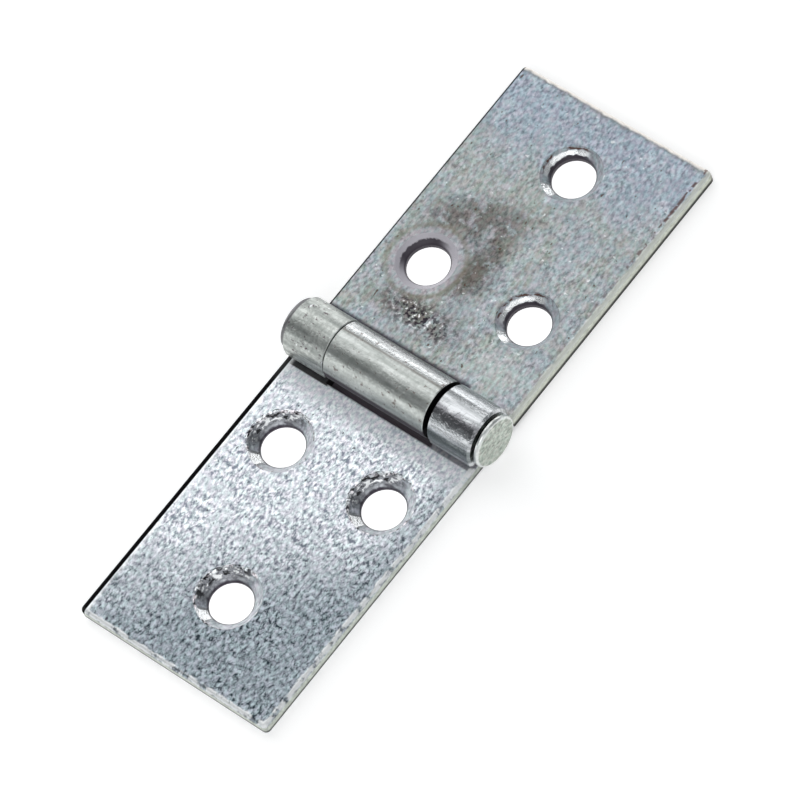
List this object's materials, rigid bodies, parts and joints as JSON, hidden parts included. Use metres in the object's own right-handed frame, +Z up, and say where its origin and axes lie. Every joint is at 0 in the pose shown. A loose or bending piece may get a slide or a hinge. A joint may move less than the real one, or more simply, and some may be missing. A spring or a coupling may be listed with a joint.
{
  "type": "cabinet hinge",
  "caption": "Plain strap cabinet hinge of zinc-plated sheet steel: rolled knuckles on a riveted pin, countersunk screw holes in each leaf.",
  "frame": {"origin": "on the resting plane, under the pin axis, midway along the near leaf's barrel", "axes": "+X along the pin, +Y from the near leaf to the far leaf, +Z up, out of the countersunk side"},
  "size_m": [0.0263, 0.075, 0.0066],
  "materials": {
    "leaf_zinc": "bright zinc plate on sheet steel, satin",
    "pin_zinc": "zinc plate on wire, dull"
  },
  "bodies": {
    "near_side": {"near_leaf": "leaf_zinc", "hinge_pin": "pin_zinc"},
    "far_side": {"far_leaf": "leaf_zinc"}
  },
  "joints": [
    {"name": "leaf_swing", "type": "hinge", "parent": "near_side", "child": "far_side", "pos_m": [0, 0, 0.0033], "axis": [1, 0, 0], "range_deg": [-90, 180]}
  ]
}
